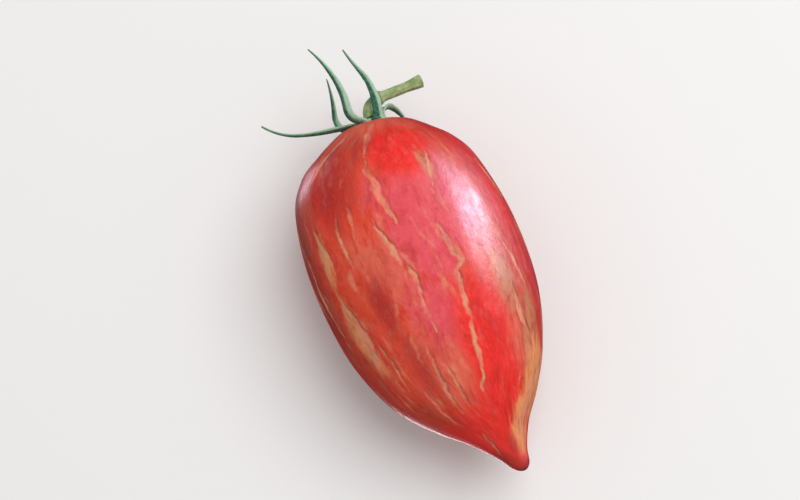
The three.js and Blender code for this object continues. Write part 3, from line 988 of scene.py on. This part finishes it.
stalk_skin, tree = start_material("downy_stalk_skin")
place = node("Attribute", attribute_name="place", out="Vector")
along = node("Attribute", attribute_name="share", out="Fac")
from_knuckle = node("Math", along, KNUCKLE_AT, operation="SUBTRACT")
from_knuckle = node("Math", from_knuckle, operation="ABSOLUTE")
colour = layered(STALK_DEEP, [
    (cells(1.8, 4, 10), 0.38, 0.66, 1.0, STALK_GREEN),
    (cells(0.7, 3, 50), 0.55, 0.75, 0.5, STALK_PALE),
    (from_knuckle, 0.022, 0.004, 0.75, STALK_DEEP),
    (along, 1.01, 1.04, 1.0, CUT_FIBRE),
])
shader = node(
    "BsdfPrincipled",
    wires={
        "Base Color": colour,
        "Roughness": 0.55,
        "IOR": 1.42,
        "Subsurface Weight": 0.15,
        "Subsurface Radius": (0.6, 1.0, 0.3),
        "Subsurface Scale": 0.8 * MM,
        "Sheen Weight": 0.2,
        "Sheen Roughness": 0.4,
        "Normal": node("Bump", wires={"Height": cells(0.4, 3, 70), "Distance": DOWN_RELIEF}),
    },
)
node("OutputMaterial", shader)
stalk.data.materials.append(stalk_skin)
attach(stalk, "root")
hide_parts("fruit_stalk")
print("stalk nodes:", len(tree.nodes))

# %% [markdown]
# ## Floor, light and camera
#
# A shiny red fruit on pale paper mirrors the paper in its flanks, and they turn grey. In a
# studio, black cards round the fruit keep the paper out of its gloss. Here the floor is
# hidden from glossy rays instead, and it casts no shadow, so a lamp can reach up past it.
# The room gives an even light, and four oval soft boxes give the rest. The high one gives
# plain light and no gloss, from the right of the picture, so the left flank falls off. The
# other three give gloss alone: a tall, narrow one on the right lays the long highlight
# along that flank, a slim one lights an edge of the left shoulder, and a small one draws
# the thin bright rim beside the beak. The camera looks down through a long lens, from a
# little towards the beak, so the shoulder covers the pit.

# %% Floor
FLOOR_HALF = 1.6  # m
corners = [(-1, -1), (1, -1), (1, 1), (-1, 1)]
floor_corners = [(x * FLOOR_HALF, y * FLOOR_HALF, 0) for x, y in corners]
floor_mesh = bpy.data.meshes.new("pale_floor")
floor_mesh.from_pydata(floor_corners, [], [(0, 1, 2, 3)])
floor = bpy.data.objects.new("pale_floor", floor_mesh)
bpy.context.scene.collection.objects.link(floor)
paper, tree = start_material("matt_paper")
TOOTH_WIDTH, TOOTH_RELIEF = 0.8 * MM, 0.01 * MM
paper_tooth = node("TexNoise", wires={"Scale": 1 / TOOTH_WIDTH, "Detail": 3.0})
paper_normal = node("Bump", wires={"Height": paper_tooth, "Distance": TOOTH_RELIEF})
paper_colour = linear("#ECEBE9")
shader = node(
    "BsdfPrincipled",
    wires={
        "Base Color": paper_colour,
        "Roughness": 0.9,
        "Specular IOR Level": 0.1,
        "Normal": paper_normal,
    },
)
node("OutputMaterial", shader)
floor_mesh.materials.append(paper)
floor.visible_glossy = False
floor.visible_shadow = False
print("floor:", 2 * FLOOR_HALF, "m square")

# %% Room light
# The room gives nothing from below its horizon, so the floor's edge never shows in a gloss.
HORIZON, ZENITH = 0.43, 0.62  # strength of the room's light, level and overhead
BACKDROP = 0.85  # what the camera sees behind the floor
world = bpy.data.worlds.new("studio_room")
world.use_nodes = True
tree = world.node_tree
tree.nodes.clear()
upward = node("SeparateXYZ", node("TexCoord", out="Generated"), out="Z")
glow = node("MapRange", upward, 0.0, 1.0, HORIZON, ZENITH)
glow = node("Math", glow, node("Math", upward, 0.0, operation="GREATER_THAN"), operation="MULTIPLY")
glow = node("Mix", node("LightPath", out="Is Camera Ray"), glow, BACKDROP)
node("OutputWorld", node("Background", linear("#F7F8FA"), glow))
bpy.context.scene.world = world
print("room light:", HORIZON, "level and", ZENITH, "overhead")


# %% Soft boxes
MIDDLE = Vector((0, 0, 0.03))  # of the fruit, where each box faces


def soft_box(name, place, roll, width, height, power, tint, gloss):
    """An oval area light that faces the fruit, rolled by some degrees. Sizes and places are
    in metres, the power is in watts, and it gives either gloss alone or plain light alone."""
    lamp = bpy.data.lights.new(name, "AREA")
    lamp.shape = "ELLIPSE"
    lamp.size, lamp.size_y = width, height
    lamp.energy = power
    lamp.color = linear(tint)[:3]
    box = bpy.data.objects.new(name, lamp)
    box.location = Vector(place)
    facing = (MIDDLE - Vector(place)).to_track_quat("-Z", "Y").to_matrix()
    box.rotation_euler = (facing @ Matrix.Rotation(math.radians(roll), 3, "Z")).to_euler()
    box.visible_diffuse, box.visible_glossy = not gloss, gloss
    bpy.context.scene.collection.objects.link(box)


SOFT_BOXES = [  # name, place, roll, width, height, power, tint, and whether it gives gloss
    ("high_box", (0.15, -0.5, 1.12), 0, 1.0, 1.0, 10.2, "#FFFFFF", False),
    ("gloss_box", (0.2, -0.98, 0.1), 24, 0.2, 0.62, 15.5, "#E4E6FF", True),
    ("shoulder_box", (0.68, 0.5, -0.54), -40, 0.6, 0.08, 2.2, "#F0EAFF", True),
    ("beak_box", (-0.17, 0.25, -0.95), 0, 0.2, 0.2, 0.65, "#FFEFF2", True),
]
for row in SOFT_BOXES:
    soft_box(*row)
    print("soft box:", row[0], "of", row[5], "W")

# %% Camera
TILT = math.radians(9.5)  # from straight down, towards the beak's side
TURN = math.radians(23.6)  # the berry's axis leans this far from upright in the picture
LENS = 90  # mm
DISTANCE = 0.56  # m
AIM = Vector((0.0085, 0.003, 0.028))  # what the middle of the picture shows
stemwards = Vector((math.cos(TILT), 0, math.sin(TILT)))
sideways = Vector((0, 1, 0))
right = -math.sin(TURN) * stemwards - math.cos(TURN) * sideways
up = math.cos(TURN) * stemwards - math.sin(TURN) * sideways
back = right.cross(up)
camera_data = bpy.data.cameras.new("camera")
camera_data.lens = LENS
camera = bpy.data.objects.new("camera", camera_data)
turned = Matrix((right, up, back)).transposed().to_4x4()
camera.matrix_world = Matrix.Translation(AIM + DISTANCE * back) @ turned
bpy.context.scene.collection.objects.link(camera)
bpy.context.scene.camera = camera
bpy.context.scene.view_settings.view_transform = "Standard"
print("camera:", round(DISTANCE * 1000), "mm away,", round(math.degrees(TILT), 1), "degrees off plumb")
